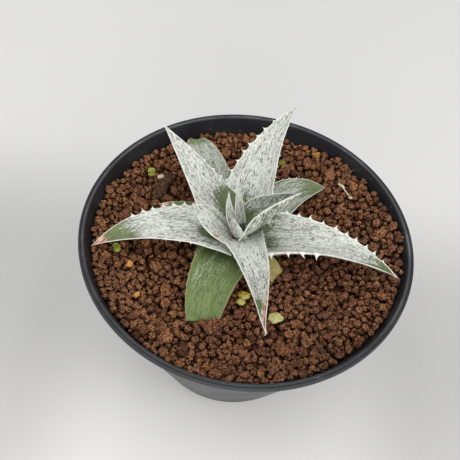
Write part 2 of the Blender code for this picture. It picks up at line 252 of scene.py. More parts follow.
# Colours are linear. A step that goes by place has its limits in millimetres.
PAPER_LOW, PAPER_HIGH = (0.62, 0.61, 0.595), (0.66, 0.65, 0.635)
# of the next paper colours, the first is painted shadow beside the pot and the last is the painted
# glow
PAPER_PAINTED_SHADOW, PAPER_FIBRE, PAPER_GLOW = (0.34, 0.335, 0.33), (0.58, 0.57, 0.56), (1.0, 0.985, 0.96)
PLASTIC, PLASTIC_DUST = (0.014, 0.0145, 0.018), (0.06, 0.06, 0.061)
PLASTIC_SCUFF, PLASTIC_SPECK = (0.1, 0.1, 0.105), (0.45, 0.44, 0.42)
LIP_PAINTED_HIGHLIGHT, LIP_LINE = (0.13, 0.13, 0.13), 58.5  # the painted highlight line on the lip and its radius
CLAY_DARK, CLAY_LIGHT, CLAY_ORANGE = (0.26, 0.085, 0.036), (0.56, 0.235, 0.11), (0.62, 0.27, 0.08)
# the clay pit colour on the next line is painted shade for the low parts of the grit bump
CLAY_PALE, CLAY_CRUST, CLAY_PIT_SHADE = (0.5, 0.29, 0.16), (0.84, 0.5, 0.31), (0.03, 0.012, 0.008)
# the gap colour is painted shade between granules, reaching as far as the distance below
CLAY_STAIN, CLAY_PAINTED_SHADE = (0.045, 0.022, 0.015), (0.012, 0.005, 0.004)
CLAY_SHADE_REACH = 2.2 * MM
LEAF_MARK = (0.075, 0.095, 0.065)
DRY_DARK, DRY_LIGHT = (0.24, 0.08, 0.035), (0.84, 0.54, 0.37)
RIM_CREAM, RIM_BROWN = (0.88, 0.88, 0.8), (0.5, 0.4, 0.22)
BARK_DARK, BARK_LIGHT, BARK_FLAKE = (0.05, 0.025, 0.015), (0.24, 0.125, 0.075), (0.34, 0.23, 0.17)
STEM_DARK, STEM_LIGHT, STEM_TOP = (0.1, 0.07, 0.035), (0.33, 0.27, 0.15), (0.035, 0.05, 0.02)


def floor_look():
    """Pale paper with a painted shadow of the pot to its left and right, and a painted glow that
    brightens it towards the front.
    """
    look = Look("floor_paper", 0.85)
    spot = look.place()
    east, north, _ = look.parts(spot)
    aside, ahead = look.math("ABSOLUTE", east), look.math("ABSOLUTE", look.add(north, 15))
    # painted shadow of the pot, on the paper to its left and right
    painted_pot_shadow = look.times(look.step(aside, 40, 85), look.step(aside, 320, 120),
                        look.step(ahead, 120, 40), 0.75)
    fibre = look.noise(spot, 0.6, 4)
    colour = look.layers(
        look.mix(look.noise(spot, 0.012), PAPER_LOW, PAPER_HIGH),
        (painted_pot_shadow, PAPER_PAINTED_SHADOW), (look.times(fibre, 0.15), PAPER_FIBRE))
    # the paper glows as painted light, more strongly towards the front
    look.put(look.shader.inputs["Emission Color"], PAPER_GLOW)
    look.put(look.shader.inputs["Emission Strength"], look.step(north, 0, -100, 0.14, 0.25))
    return look.finish(colour, fibre, 0.02 * MM)


def plastic_look():
    """Satin black plastic with dust, fine scuffs, a few pale specks and a painted highlight along
    the lip, strongest at the back.
    """
    look = Look("black_plastic", 0.4, Specular_IOR_Level=0.5)
    spot = look.place()
    dust = look.step(look.noise(spot, 0.07, 4, 0.6), 0.42, 0.75)
    scuff = look.step(look.noise(spot, (0.35, 0.35, 2.2), 5, 0.65), 0.6, 0.74)
    specks = look.times(look.step(look.cells(spot, 0.5), 0.12, 0.07),
                        look.step(look.noise(spot, 0.16, 1), 0.54, 0.6), 0.7)
    east, north, up = look.parts(spot)
    out = look.math("SQRT", look.add(look.times(east, east), look.times(north, north)))
    top = POT_HEIGHT / MM
    # painted highlight along the lip's top, broken up by the dust and strongest at the back
    lip_highlight = look.times(look.step(look.math("ABSOLUTE", look.add(out, -LIP_LINE)), 0.55, 0.25),
                      look.step(up, top - 0.8, top - 0.4), look.step(dust, 0, 0.6, 0.45, 1),
                      look.step(north, -45, 10, 0.12, 1))
    colour = look.layers(
        PLASTIC, (look.times(dust, 0.35), PLASTIC_DUST), (look.times(scuff, 0.35), PLASTIC_SCUFF),
        (lip_highlight, LIP_PAINTED_HIGHLIGHT), (specks, PLASTIC_SPECK))
    rough = look.add(look.times(dust, 0.16), look.times(scuff, 0.1), 0.36)
    return look.finish(colour, look.noise(spot, 2.5), 0.015 * MM, rough)


def clay_look():
    """Porous fired clay. Each granule's own tone comes with its points. The pits and the gaps
    between granules get painted shade.
    """
    look = Look("fired_clay", 0.95, Specular_IOR_Level=0.25)
    spot = look.place()
    tone, orange, dark = look.parts(look.attribute("tone"))
    pale = look.noise(spot, 0.7, 3, 0.6)
    grit = look.noise(spot, 1.5, 4, 0.7, 0.3)
    crust = look.noise(spot, 2.3, 3, 0.6)
    pits = look.step(look.cells(spot, 1.3), 0.12, 0.5)
    # painted shade in the gaps between granules, from ambient occlusion
    inputs = {"Distance": CLAY_SHADE_REACH}
    gap = look.node("ShaderNodeAmbientOcclusion", inputs, samples=6).outputs["AO"]
    colour = look.layers(
        look.mix(tone, CLAY_DARK, CLAY_LIGHT), (orange, CLAY_ORANGE),
        (look.step(pale, 0.45, 0.8, 0, 0.5), CLAY_PALE),
        (look.step(crust, 0.54, 0.66, 0, 0.7), CLAY_CRUST),
        # painted shade in the low parts of the grit bump
        (look.step(grit, 0.52, 0.38, 0, 0.95), CLAY_PIT_SHADE),
        (look.times(dark, 0.8), CLAY_STAIN),
        (look.step(gap, 0.75, 0.25, 0, 0.94), CLAY_PAINTED_SHADE))
    return look.finish(colour, look.add(look.times(grit, 1.2), look.times(pits, 0.7)), 0.8 * MM)


def leaf_look(name, bare_dark, bare_light, white_low, white_high):
    """Leaf tissue under a coat of pale scales.

    The points carry where they are on the leaf (across, along, side), how much coat, dryness
    and distance from the margin they have, and their ribs, tone and blush.
    """
    look = Look(name, 0.72, Specular_IOR_Level=0.3)
    lay = look.attribute("lay")
    coat, dry, edge = look.parts(look.attribute("skin"))
    ribs, tone, blush = look.parts(look.attribute("cast"))
    streak = look.noise(lay, (0.55, 0.07))
    mottle = look.noise(lay, (1.9, 0.9), 4, 0.65)
    dash = look.noise(lay, (2.0, 0.42), 3, 0.55, 0.3)
    speck = look.noise(lay, (2.6, 2.0), 2, 0.5)
    fold = look.noise(lay, (0.8, 0.045), 2, 0.5)
    blotch = look.noise(lay, (1.4, 0.3))
    across, _, _ = look.parts(lay)
    rib = look.math("SINE", look.add(look.times(across, 8.4), look.times(streak, 3.0)))
    unevenness = look.add(mottle, -0.5)

    # the coat, thinner in the grooves and in streaks, over the bare leaf
    thick = look.add(coat, look.times(look.add(streak, -0.5), 1.4), look.times(unevenness, 1.3),
                     look.times(look.step(rib, 0.3, 1.0), ribs, -0.35))
    cover = look.step(thick, 0.16, 0.58)
    yellowed = look.step(look.add(tone, look.times(mottle, 0.4)), 0, 1.2)
    bare = look.mix(yellowed, bare_dark, bare_light)
    dense = look.add(mottle, look.times(streak, 0.6), look.times(coat, 0.35))
    white = look.mix(look.step(dense, 0.8, 1.2), white_low, white_high)

    # dark dashes, specks and fine creases where scales are missing
    crease = look.times(look.step(look.math("ABSOLUTE", look.add(fold, -0.52)), 0.014, 0.003),
                        look.step(dash, 0.4, 0.5))
    marks = look.times(look.step(dash, 0.55, 0.66), look.step(streak, 0.34, 0.56))
    marks = look.math("MAXIMUM", marks, look.step(speck, 0.635, 0.7), crease)
    marks = look.times(marks, look.step(coat, 1.25, 0.85, 0.45, 0.95))

    # dried parts, then the pale horny rim
    dryness = look.step(look.add(dry, look.times(unevenness, 0.7)), 0.3, 0.62)
    tan = look.mix(look.step(blotch, 0.35, 0.65), DRY_DARK, DRY_LIGHT)
    rim = look.times(look.step(look.add(edge, look.times(mottle, 0.4)), 0.52, 0.27),
                     look.step(blush, 0.6, 1.0, 1.0, 0.45))
    cream = look.mix(look.step(blush, 0.1, 0.9), RIM_CREAM, RIM_BROWN)

    colour = look.layers(bare, (cover, white), (marks, LEAF_MARK), (dryness, tan), (rim, cream))
    height = look.add(look.times(cover, 0.5), look.times(mottle, 0.5),
                      look.times(rib, ribs, 0.8), look.times(crease, -0.8))
    return look.finish(colour, height, 0.1 * MM, look.step(cover, 0, 1, 0.48, 0.8))


def bit_look(name, dark, light, roughness, scale=1.1):
    """A waxy or stony bit, mottled between two colours, with a few dark pits."""
    look = Look(name, roughness, Specular_IOR_Level=0.35)
    spot = look.place()
    cloud = look.noise(spot, scale, 4, 0.6, 0.4)
    pits = look.step(look.noise(spot, 2.6, 2), 0.66, 0.74, 0, 0.55)
    colour = look.layers(
        look.mix(look.step(cloud, 0.32, 0.66), dark, light),
        (pits, tuple(c * 0.25 for c in dark)))
    return look.finish(colour, cloud, 0.25 * MM)


def bark_look():
    look = Look("rotten_bark", 0.95, Specular_IOR_Level=0.2)
    spot = look.place()
    fibre = look.noise(spot, (0.99, 0.55, 2.2), 5, 0.7, 0.5)
    flake = look.noise(spot, 2.2, 4, 0.7)
    colour = look.layers(
        look.mix(look.step(fibre, 0.35, 0.62), BARK_DARK, BARK_LIGHT),
        (look.step(flake, 0.58, 0.7, 0, 0.6), BARK_FLAKE))
    return look.finish(colour, look.add(fibre, flake), 0.5 * MM)


def stem_look():
    look = Look("stem_fibre", 0.85)
    spot = look.place()
    fibre = look.noise(spot, (2.2, 2.2, 0.25), 4)
    colour = look.layers(
        look.mix(look.step(fibre, 0.3, 0.7), STEM_DARK, STEM_LIGHT),
        (look.step(look.parts(spot)[2], 70, 74), STEM_TOP))
    return look.finish(colour, fibre, 0.25 * MM)


# Meshes ------------

def finished(name, mesh, material):
    if material:
        mesh.materials.append(material)
    return link(bpy.data.objects.new(name, mesh))


def mesh_object(name, points, faces, material):
    mesh = bpy.data.meshes.new(name)
    mesh.from_pydata([tuple(p) for p in points], [], faces)
    mesh.update()
    mesh.shade_smooth()
    return finished(name, mesh, material)


def built(name, build, material=None):
    """Turn a bmesh into an object."""
    mesh = bpy.data.meshes.new(name)
    build.to_mesh(mesh)
    build.free()
    return finished(name, mesh, material)


def face_outwards(thing):
    build = bmesh.new()
    build.from_mesh(thing.data)
    bmesh.ops.recalc_face_normals(build, faces=build.faces)
    build.to_mesh(thing.data)
    build.free()


def stand_for(thing, node):
    """Fix a visible piece to the only body, in place of its CAD node."""
    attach(thing, "root")
    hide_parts(node)


def store(thing, name, *parts):
    """Keep a vector for each point of the mesh, for its material to read."""
    layer = thing.data.attributes.new(name, "FLOAT_VECTOR", "POINT")
    layer.data.foreach_set("vector", np.stack(parts, axis=-1).astype(np.float32).ravel())


def lathe(profile, segments):
    """Turn (radius, height) points about Z. Points on the axis become single vertices."""
    points, faces, rows = [], [], []
    for r, z in profile:
        if r == 0:
            rows.append([len(points)] * segments)
            points.append((0, 0, z))
            continue
        rows.append(list(range(len(points), len(points) + segments)))
        for i in range(segments):
            a = 2 * math.pi * i / segments
            points.append((r * math.cos(a), r * math.sin(a), z))
    for low, high in zip(rows, rows[1:]):
        for i in range(segments):
            j = (i + 1) % segments
            face = [low[i], low[j], high[j], high[i]]
            faces.append([v for k, v in enumerate(face) if v not in face[:k]])
    return points, faces


def rounded(profile, radius, steps=4):
    """Replace each inner corner of a profile by a small arc."""
    smooth = [profile[0]]
    for before, corner, after in zip(profile, profile[1:], profile[2:]):
        corner = Vector(corner)
        back, ahead = Vector(before) - corner, Vector(after) - corner
        reach = min(radius, 0.45 * back.length, 0.45 * ahead.length)
        start, end = corner + back.normalized() * reach, corner + ahead.normalized() * reach
        for i in range(steps + 1):
            t = i / steps
            smooth.append(tuple(start.lerp(corner, t).lerp(corner.lerp(end, t), t)))
    return smooth + [profile[-1]]


def applied(thing, cutter, operation):
    """Cut or join with a Boolean and keep the result as the mesh."""
    cut = thing.modifiers.new("cut", "BOOLEAN")
    cut.object = cutter
    cut.operation = operation
    cut.solver = "EXACT"
    graph = bpy.context.evaluated_depsgraph_get()
    mesh = bpy.data.meshes.new_from_object(thing.evaluated_get(graph))
    thing.modifiers.clear()
    thing.data = mesh
    bpy.data.objects.remove(cutter)


# Pot ------------

LIP_BAND = 1.7 * MM  # height of the lip
LIP_BEAD = 0.22 * MM  # depth of its grooves
CORNER_RADIUS = 0.3 * MM
POT_SEGMENTS = 240


def wall_outside(z):
    return POT_BASE_RADIUS + (POT_RADIUS - LIP_OVERHANG - POT_BASE_RADIUS) * z / POT_HEIGHT


def wall_inside(z):
    return wall_outside(z) - POT_WALL


def make_pot():
    inner_foot = POT_BASE_RADIUS - FOOT_WIDTH
    top = POT_HEIGHT
    band = top - LIP_BAND
    profile = [(0, FOOT_HEIGHT), (inner_foot, FOOT_HEIGHT), (inner_foot, 0), (POT_BASE_RADIUS, 0)]
    profile += [(wall_outside(z), z) for z in np.linspace(2 * MM, band - 2.4 * MM, 12)]
    profile += [
        (wall_outside(band) - 0.1 * MM, band - 0.9 * MM),
        (wall_outside(band) + 0.5 * MM, band - 0.3 * MM),
        (POT_RADIUS, band), (POT_RADIUS, band + 0.7 * MM),
        (POT_RADIUS - LIP_BEAD, band + 0.85 * MM), (POT_RADIUS, band + 1.0 * MM),
        (POT_RADIUS - 0.1 * MM, top), (POT_RADIUS - 0.85 * MM, top),
        (POT_RADIUS - 1.0 * MM, top - LIP_BEAD),
        (POT_RADIUS - 1.15 * MM, top),
        (wall_inside(top), top),
    ]
    profile += [(wall_inside(z), z) for z in np.linspace(top - 2 * MM, FLOOR_TOP, 10)]
    profile.append((0, FLOOR_TOP))
    points, faces = lathe(rounded(profile, CORNER_RADIUS), POT_SEGMENTS)
    pot = mesh_object("nursery_pot", points, faces, plastic_look())
    face_outwards(pot)
    applied(pot, foot_cutter(inner_foot), "DIFFERENCE")
    pot.data.shade_smooth()
    pot.data.set_sharp_from_angle(angle=math.radians(38))
    stand_for(pot, "pot")


def drum(build, segments, radius, depth, place):
    bmesh.ops.create_cone(build, cap_ends=True, segments=segments, radius1=radius, radius2=radius,
                          depth=depth, matrix=place)


def foot_cutter(inner_foot):
    """The drainage notches across the foot and the drain holes in the floor, as one cutter."""
    build = bmesh.new()
    holes = [(0, 0)]
    for k in range(NOTCH_COUNT):
        heading = math.radians(NOTCH_ANGLE + 360 * k / NOTCH_COUNT)
        out = Vector((math.cos(heading), math.sin(heading), 0))
        turn = Matrix.Rotation(heading, 4, "Z") @ Matrix.Rotation(math.pi / 2, 4, "Y")
        shape = Matrix.Diagonal((NOTCH_HEIGHT, NOTCH_WIDTH / 2, 3 * FOOT_WIDTH, 1))
        place = Matrix.Translation(out * (inner_foot + FOOT_WIDTH / 2))
        drum(build, 48, 1, 1, place @ turn @ shape)
        holes.append(tuple(out.xy * DRAIN_CIRCLE))
    for x, y in holes:
        place = Matrix.Translation((x, y, (FOOT_HEIGHT + FLOOR_TOP) / 2))
        drum(build, 40, DRAIN_RADIUS, 3 * POT_WALL, place)
    return built("foot_cutter", build)


# Leaves ------------

NO_SPINES = (0, 0, 1, 0)


@dataclass
class Leaf:
    """One leaf, with the same measures as its CAD solid, and its coat of scales.

    Angles are in degrees, lengths in millimetres. wrap is how far each half of the base bends
    round the stem. base is the share of the full width that its right and left halves have
    there, open the share of the fold, and lift how much higher it starts. hook is how far the
    tip bends to the left. left and right tell of that margin's spines: how far the first is from
    the base and the last from the tip, the distance between them and their size. droop is how
    far the spines on the right and left hang. coat is how white the leaf is, ribs how deep its
    ribs show, tone how yellow the bare tissue is, blush how brown its spines. A patch (what, s,
    v, reach, spread, amount) adds to that part of the look around s along the leaf (0 base, 1
    tip) and v across it (-1 right, 1 left).
    """
    name: str
    azimuth: float
    turn: float
    rise: float
    dip: float
    length: float
    width: float
    fullness: float
    level: float
    fold: float = 10
    twist: float = 0
    kept: float = 1
    wrap: float = 30
    base: tuple = (1, 1)
    open: float = 1
    lift: float = 0
    hook: float = 0
    left: tuple = NO_SPINES
    right: tuple = NO_SPINES
    droop: tuple = (0.25, 0.1)
    coat: float = 0
    ribs: float = 0.15
    tone: float = 0.3
    blush: float = 0
    slot: str = "leaf_silver"
    patches: tuple = ()


LEAVES = (
    Leaf("leaf_low_back", 125, -14, 31, -35, 44, 16.2, 6.0, 1.6, kept=0.93,
         coat=0.62, tone=0.5, blush=0.5, slot="leaf_grey_green",
         left=(8, 6, 3.6, 0.4), right=(8, 6, 3.2, 0.45),
         patches=(("coat", 1.0, 0, 0.055, 2, -0.9), ("tone", 1.0, 0, 0.12, 2, 0.5),
                  ("coat", 0.45, 0, 0.2, 2, -0.12))),
    Leaf("leaf_low_right", 60, -29, 37, -70, 43, 17, 2.7, 2.6, fold=15,
         coat=0.52, tone=0.5, blush=0.4, slot="leaf_grey_green", left=(10, 9, 2.9, 0.55),
         patches=(("coat", 1.0, 0, 0.24, 2, -0.95), ("tone", 1.0, 0, 0.2, 2, 0.4),
                  ("coat", 0.45, 0.2, 0.2, 1, 0.15))),
    Leaf("leaf_low_left", 156, 3, 27, -46, 31, 15, 2.4, 0.8, fold=12, twist=-6,
         coat=0.12, tone=0.2, blush=0.7, slot="leaf_green", right=(10, 4, 3.4, 0.5),
         patches=(("tone", 0.8, -0.7, 0.3, 0.3, 0.5), ("dry", 1.0, 0, 0.14, 2, 1.1))),
    Leaf("leaf_low_front_left", -118, 29, 31, -66, 32, 19.5, 2.4, 2.1, fold=18, kept=0.72,
         coat=0.14, tone=0.7, blush=0.9, base=(1.28, 1), slot="leaf_green",
         left=(9, 2, 3.4, 0.3), right=(5, 2, 3.3, 0.5),
         # the tone patch at s 0.2 darkens the base as painted shade where the leaves above fall
         # over it
         patches=(("coat", 0.45, -0.3, 0.25, 0.8, 0.2), ("tone", 0.2, 0, 0.2, 2, -0.2),
                  ("coat", 0.95, 0, 0.25, 2, -0.12))),
    Leaf("leaf_low_front_right", -34, 0, 28, -68, 14.8, 9, 3.0, 1.6, kept=0.7,
         coat=0.05, tone=0.7, blush=1.0, slot="leaf_yellow",
         patches=(("tone", 1.0, 0, 0.5, 2, 0.5),)),
    Leaf("leaf_upper_back_left", 139, 4, 39.5, -14, 46, 21, 1.25, 6.8, fold=3, twist=6,
         coat=0.86, wrap=40, left=(9, 9, 4.0, 0.22), right=(12, 17, 3.9, 0.95),
         patches=(("coat", 0.22, -0.62, 0.14, 0.62, -1.2), ("tone", 0.26, -0.6, 0.2, 0.8, -0.05),
                  ("coat", 0.12, 0.4, 0.16, 0.6, -0.35))),
    Leaf("leaf_upper_back_right", 92, -42, 40, -8, 51.5, 20.5, 1.85, 4.6, fold=12, twist=-10,
         coat=0.86, wrap=40, left=(14, 9, 3.5, 0.95), right=(12, 7, 3.9, 0.65),
         patches=(("coat", 0.22, -0.1, 0.08, 0.6, -0.6), ("coat", 0.0, -0.4, 0.14, 1, -0.8),
                  ("coat", 1.0, 0, 0.06, 2, -0.3))),
    Leaf("leaf_upper_right", -2, -14, 32, -56, 55.5, 23.5, 1.3, 5.2, fold=27,
         coat=0.84, left=(13, 6, 3.9, 1.05), right=(4.5, 28, 5.0, 1.9), droop=(2.2, 0.1),
         patches=(("coat", 0.1, 0.3, 0.12, 1.5, -0.5), ("coat", 1.0, 0, 0.16, 2, -1.4),
                  ("coat", 0.86, -0.9, 0.16, 0.3, -1.0), ("dry", 1.0, 0, 0.02, 2, 1),
                  ("tone", 1.0, 0, 0.1, 2, 0.5))),
    Leaf("leaf_upper_left", 184, 20, 31, -66, 52.5, 18.5, 1.9, 8.2, fold=4, twist=-4,
         coat=0.9, wrap=12, left=(16, 26, 4.4, 0.65), right=(15, 15, 3.6, 1.25),
         patches=(("coat", 0.89, -0.2, 0.17, 1.2, -1.15), ("coat", 0.74, 0.8, 0.1, 0.3, -0.9),
                  ("dry", 1.0, 0, 0.1, 2, 1.4), ("dry", 0.88, -1.0, 0.12, 0.16, 0.9),
                  ("dry", 0.93, 0.6, 0.07, 0.4, 0.5), ("coat", 0.1, 0.35, 0.12, 0.36, -0.75),
                  ("tone", 0.85, 0, 0.2, 2, 0.5), ("coat", 0.2, 0.2, 0.07, 0.5, -0.5))),
    Leaf("leaf_upper_front", -69, -17, 31, -28, 45.5, 19.5, 0.75, 7.8, fold=16, twist=14,
         coat=0.7, hook=1.2, lift=2.6, base=(1, 0.78),
         left=(3, 24, 2.6, 0.45), right=(5, 20, 3.4, 0.45),
         patches=(("dry", 0.86, 1.0, 0.14, 0.75, 2.0), ("dry", 1.0, 0, 0.06, 2, 1.4),
                  ("coat", 0.75, -0.6, 0.04, 0.5, -0.9), ("coat", 0.8, -0.5, 0.2, 1, -0.22),
                  ("coat", 0.15, 0, 0.2, 2, 0.35))),
    Leaf("leaf_inner_left", -158, -22, 57, -10, 24, 11.5, 3.3, 8.4, fold=5, twist=-30,
         coat=0.84, ribs=1.0, wrap=40, lift=0.6, left=(8, 6, 4, 0.5), right=(8, 6, 4, 0.35),
         patches=(("dry", 0.44, 1.0, 0.05, 0.28, 1.1), ("dry", 0.02, 0.0, 0.05, 0.4, 0.8))),
    Leaf("leaf_inner_right", 6, 3, 73, -28, 27.5, 23, 1.25, 10.3, fold=48, twist=-20,
         coat=0.6, ribs=0.8, base=(0.42, 0.6), open=0.35, lift=3.4, left=(9, 9, 3.2, 0.6),
         patches=(("coat", 0.1, 0.5, 0.15, 0.5, -0.5),)),
    Leaf("leaf_heart_back", 118, 0, 62, 21, 19.5, 4.4, 2.0, 12.2, fold=44, coat=0.95, ribs=0.7,
         left=(4, 4, 4, 0.3)),
    Leaf("leaf_heart_back_left", 170, -60, 64, 22, 18.5, 4.6, 1.8, 10.4, fold=25, twist=-14,
         coat=0.95, ribs=0.7, left=(4, 4, 4, 0.3)),
    Leaf("leaf_heart_front", -117, 0, 64, 15, 16.5, 6.5, 2.0, 11.4, fold=20, coat=0.9, ribs=0.7,
         left=(5, 4, 4, 0.3), right=(5, 4, 4, 0.3)),
    Leaf("leaf_heart_left", 205, 0, 66, 0, 10, 3.2, 1.7, 13.6, fold=20, coat=0.9),
)
ROW_GAP = 0.6  # between the sections along a leaf
COLUMNS = 27  # points across each face
STEM_GAP = 0.3  # between the stem and the middle of a leaf's base
WRAPPED = 0.22  # share of a leaf where its base wraps the stem
OPENED = 0.5  # and by where it has its full width and fold
HOOK_ONSET = 14  # the higher, the nearer to the tip the hook starts
EDGE_THICKNESS = 0.42
TIP_REACH = 0.8  # from the last section to the point
WAVE_DEPTH = 0.5  # of the soft dents
WAVE_SHARE = 0.05  # and their limit on a narrow part
SCALLOP = 0.34  # how far the margin draws in between two spines
SPINE_LENGTH = 1.55
SPINE_BASE = 0.75  # half of a spine's foot along the margin
SPINE_TIP = 0.2  # and of the part past its hollow flanks
SPINE_HEIGHT = 0.22  # half of its thickness
SPINE_ROOT = 0.15  # how deep it sits in the margin
SPINE_SIDES, SPINE_RINGS = 8, 6
LEAF_SEED = 11
ON_SPINE = (5.0, -1.0)  # arc and edge of its points, for the colour of the rim


def unit(v):
    return v / np.linalg.norm(v, axis=-1, keepdims=True)


def leaf_headings(leaf, s):
    azimuth = np.radians(leaf.azimuth + leaf.turn * s)
    rise = np.radians(leaf.rise + leaf.dip * s)
    flat = np.cos(rise)
    return np.stack([flat * np.cos(azimuth), flat * np.sin(azimuth), np.sin(rise)], axis=-1)


class Blade:
    """The surface of a leaf, in millimetres."""

    def __init__(self, leaf, rng):
        self.leaf = leaf
        self.rows = max(20, round(leaf.length / ROW_GAP))
        self.s = np.linspace(0, 1, self.rows + 1)
        self.thickness = LEAF_THICKNESS * min(1, leaf.width / FULL_WIDTH)
        away = STEM_RADIUS - STEM_TAPER * leaf.level + STEM_GAP + self.thickness / 2
        azimuth = math.radians(leaf.azimuth)
        start = np.array([PLANT.x / MM + away * math.cos(azimuth),
                          PLANT.y / MM + away * math.sin(azimuth), SOIL_TOP / MM + leaf.level])
        middle = leaf_headings(leaf, (self.s[1:] + self.s[:-1]) / 2)
        steps = middle * (leaf.length / self.rows)
        self.centres = np.vstack([start, start + np.cumsum(steps, axis=0)])
        self.fold = math.radians(leaf.fold)
        self.spines = {-1: spine_places(leaf, leaf.right, rng),
                       1: spine_places(leaf, leaf.left, rng)}

    def half_width(self, s):
        leaf = self.leaf
        return leaf.width * (1 - np.clip(s * leaf.kept, 0, 1) ** leaf.fullness) / 2

    def scalloped(self, s, v):
        """Draw the margin in between its spines."""
        inset = np.zeros(s.shape)
        for where, spines in self.spines.items():
            size = (self.leaf.left if where > 0 else self.leaf.right)[3]
            places = [at for at, _ in spines]
            for low, high in zip(places, places[1:]):
                share = (s - low) / (high - low)
                within = (share > 0) & (share < 1) & (v * where > 0)
                drawn = SCALLOP * size * np.sin(np.pi * np.clip(share, 0, 1)) ** 0.7
                inset = np.where(within, drawn, inset)
        half = self.half_width(s)
        pull = np.minimum(0.3, inset / np.maximum(half, 0.3))
        return v * (1 - pull * np.abs(v) ** 6)

    def at(self, s, v, side):
        """Points on the blade: s along, v across, side 0 on the upper face and 1 on the lower."""
        leaf = self.leaf
        v = self.scalloped(s, v)
        centre = np.stack([np.interp(s, self.s, self.centres[:, k]) for k in range(3)], axis=-1)
        along = leaf_headings(leaf, s)
        level = unit(np.cross(np.array([0.0, 0.0, 1.0]), along))
        over = np.cross(along, level)
        twist = np.radians(leaf.twist * s)[..., None]
        across = level * np.cos(twist) + over * np.sin(twist)
        up = over * np.cos(twist) - level * np.sin(twist)
        centre = centre + level * (leaf.hook * s ** HOOK_ONSET)[..., None]
        opened = np.clip(s / OPENED, 0, 1)
        opened = opened * opened * (3 - 2 * opened)
        centre = centre + over * (leaf.lift * (1 - opened))[..., None]
        share = np.where(v < 0, leaf.base[0], leaf.base[1])
        half = self.half_width(s) * (share + (1 - share) * opened)
        fold = self.fold * (leaf.open + (1 - leaf.open) * opened)
        arc = half * fold / np.sin(fold)
        near = np.clip(1 - s / WRAPPED, 0, 1) ** 2
        bend = 2 * fold + np.maximum(math.radians(leaf.wrap) - 2 * fold, 0) * near
        angle = bend * v
        radius = arc / bend
        cos, sin, radius = np.cos(angle)[..., None], np.sin(angle)[..., None], radius[..., None]
        out = up * cos - across * sin
        sideways = across * cos + up * sin
        full = self.thickness * (1 - (1 - TIP_THINNING) * s)
        margin = np.minimum(EDGE_THICKNESS * (1 - 0.5 * s), full)
        room = np.clip(1 - np.abs(v) ** 2.4, 0, 1) ** 0.75
        thin = np.clip(arc / 2.5, 0.25, 1)
        depth = (margin + (full - margin) * room) * thin
        point = (centre + across * (radius * sin) + up * (radius * (1 - cos))
                 - out * (depth * side)[..., None])
        return point, arc, along, out, sideways, depth


def blade_mesh(leaf, rng):
    """Points and faces of a leaf with its spines, and s, v, side, arc and edge for each point."""
    blade = Blade(leaf, rng)
    u = np.linspace(-1, 1, COLUMNS)
    v_top = np.sign(u) * (1 - (1 - np.abs(u)) ** 1.5)
    v = np.concatenate([v_top, [1.0], v_top[::-1], [-1.0]])
    side = np.concatenate([np.zeros(COLUMNS), [0.5], np.ones(COLUMNS), [0.5]])
    cut_off = leaf.kept < 1
    rows = blade.s if cut_off else blade.s[:-1]
    s, v, side = np.broadcast_arrays(rows[:, None], v, side)
    points, arc, _, out, sideways, depth = blade.at(s, v, side)
    bulge = np.where(side == 0.5, 0.3 * depth, 0) * np.sign(v)
    points = points + sideways * bulge[..., None]
    waves = np.array([[noise.noise(Vector((b * a * 0.22, d * leaf.length * 0.09, leaf.azimuth)))
                       for a, b, d in zip(ra, rv, rs)] for ra, rv, rs in zip(arc, v, s)])
    points = points + out * (waves * np.minimum(WAVE_DEPTH, arc * WAVE_SHARE))[..., None]
    points = points.reshape(-1, 3)
    facts = np.stack([s, v, side, arc, (1 - np.abs(v)) * arc], axis=-1).reshape(-1, 5)
    count = v.shape[1]
    after = [(j + 1) % count for j in range(count)]
    faces = [(a + j, a + count + j, a + count + k, a + k)
             for a in range(0, (len(rows) - 1) * count, count) for j, k in enumerate(after)]
    faces.append(tuple(range(count)))
    end = (len(rows) - 1) * count
    if cut_off:
        faces.append(tuple(end + j for j in reversed(range(count))))
    else:
        tip = blade.centres[-1] + leaf_headings(leaf, np.array([1.0]))[0] * TIP_REACH
        faces += [(end + j, len(points), end + k) for j, k in enumerate(after)]
        points = np.vstack([points, tip])
        facts = np.vstack([facts, (1, 0, 0, 0, 0)])
    for where, spines in blade.spines.items():
        for at, size in spines:
            made, shape = spine(blade, at, where, size, rng)
            faces += [tuple(len(points) + q for q in face) for face in shape]
            points = np.vstack([points, made])
            facts = np.vstack([facts, np.tile((at, where, 0, *ON_SPINE), (len(made), 1))])
    return points, faces, facts.T


def spine_places(leaf, spines, rng):
    """Where along the leaf the spines of a margin are, and how large each is."""
    at, last, gap, size = spines
    at += rng.uniform(-0.6, 0.6)
    places = []
    while size and at < leaf.length - last:
        s = at / leaf.length
        places.append((s, size * min(1, 0.55 + 1.6 * (1 - s)) * rng.uniform(0.8, 1.15)))
        at += gap * rng.uniform(0.85, 1.15)
    return places


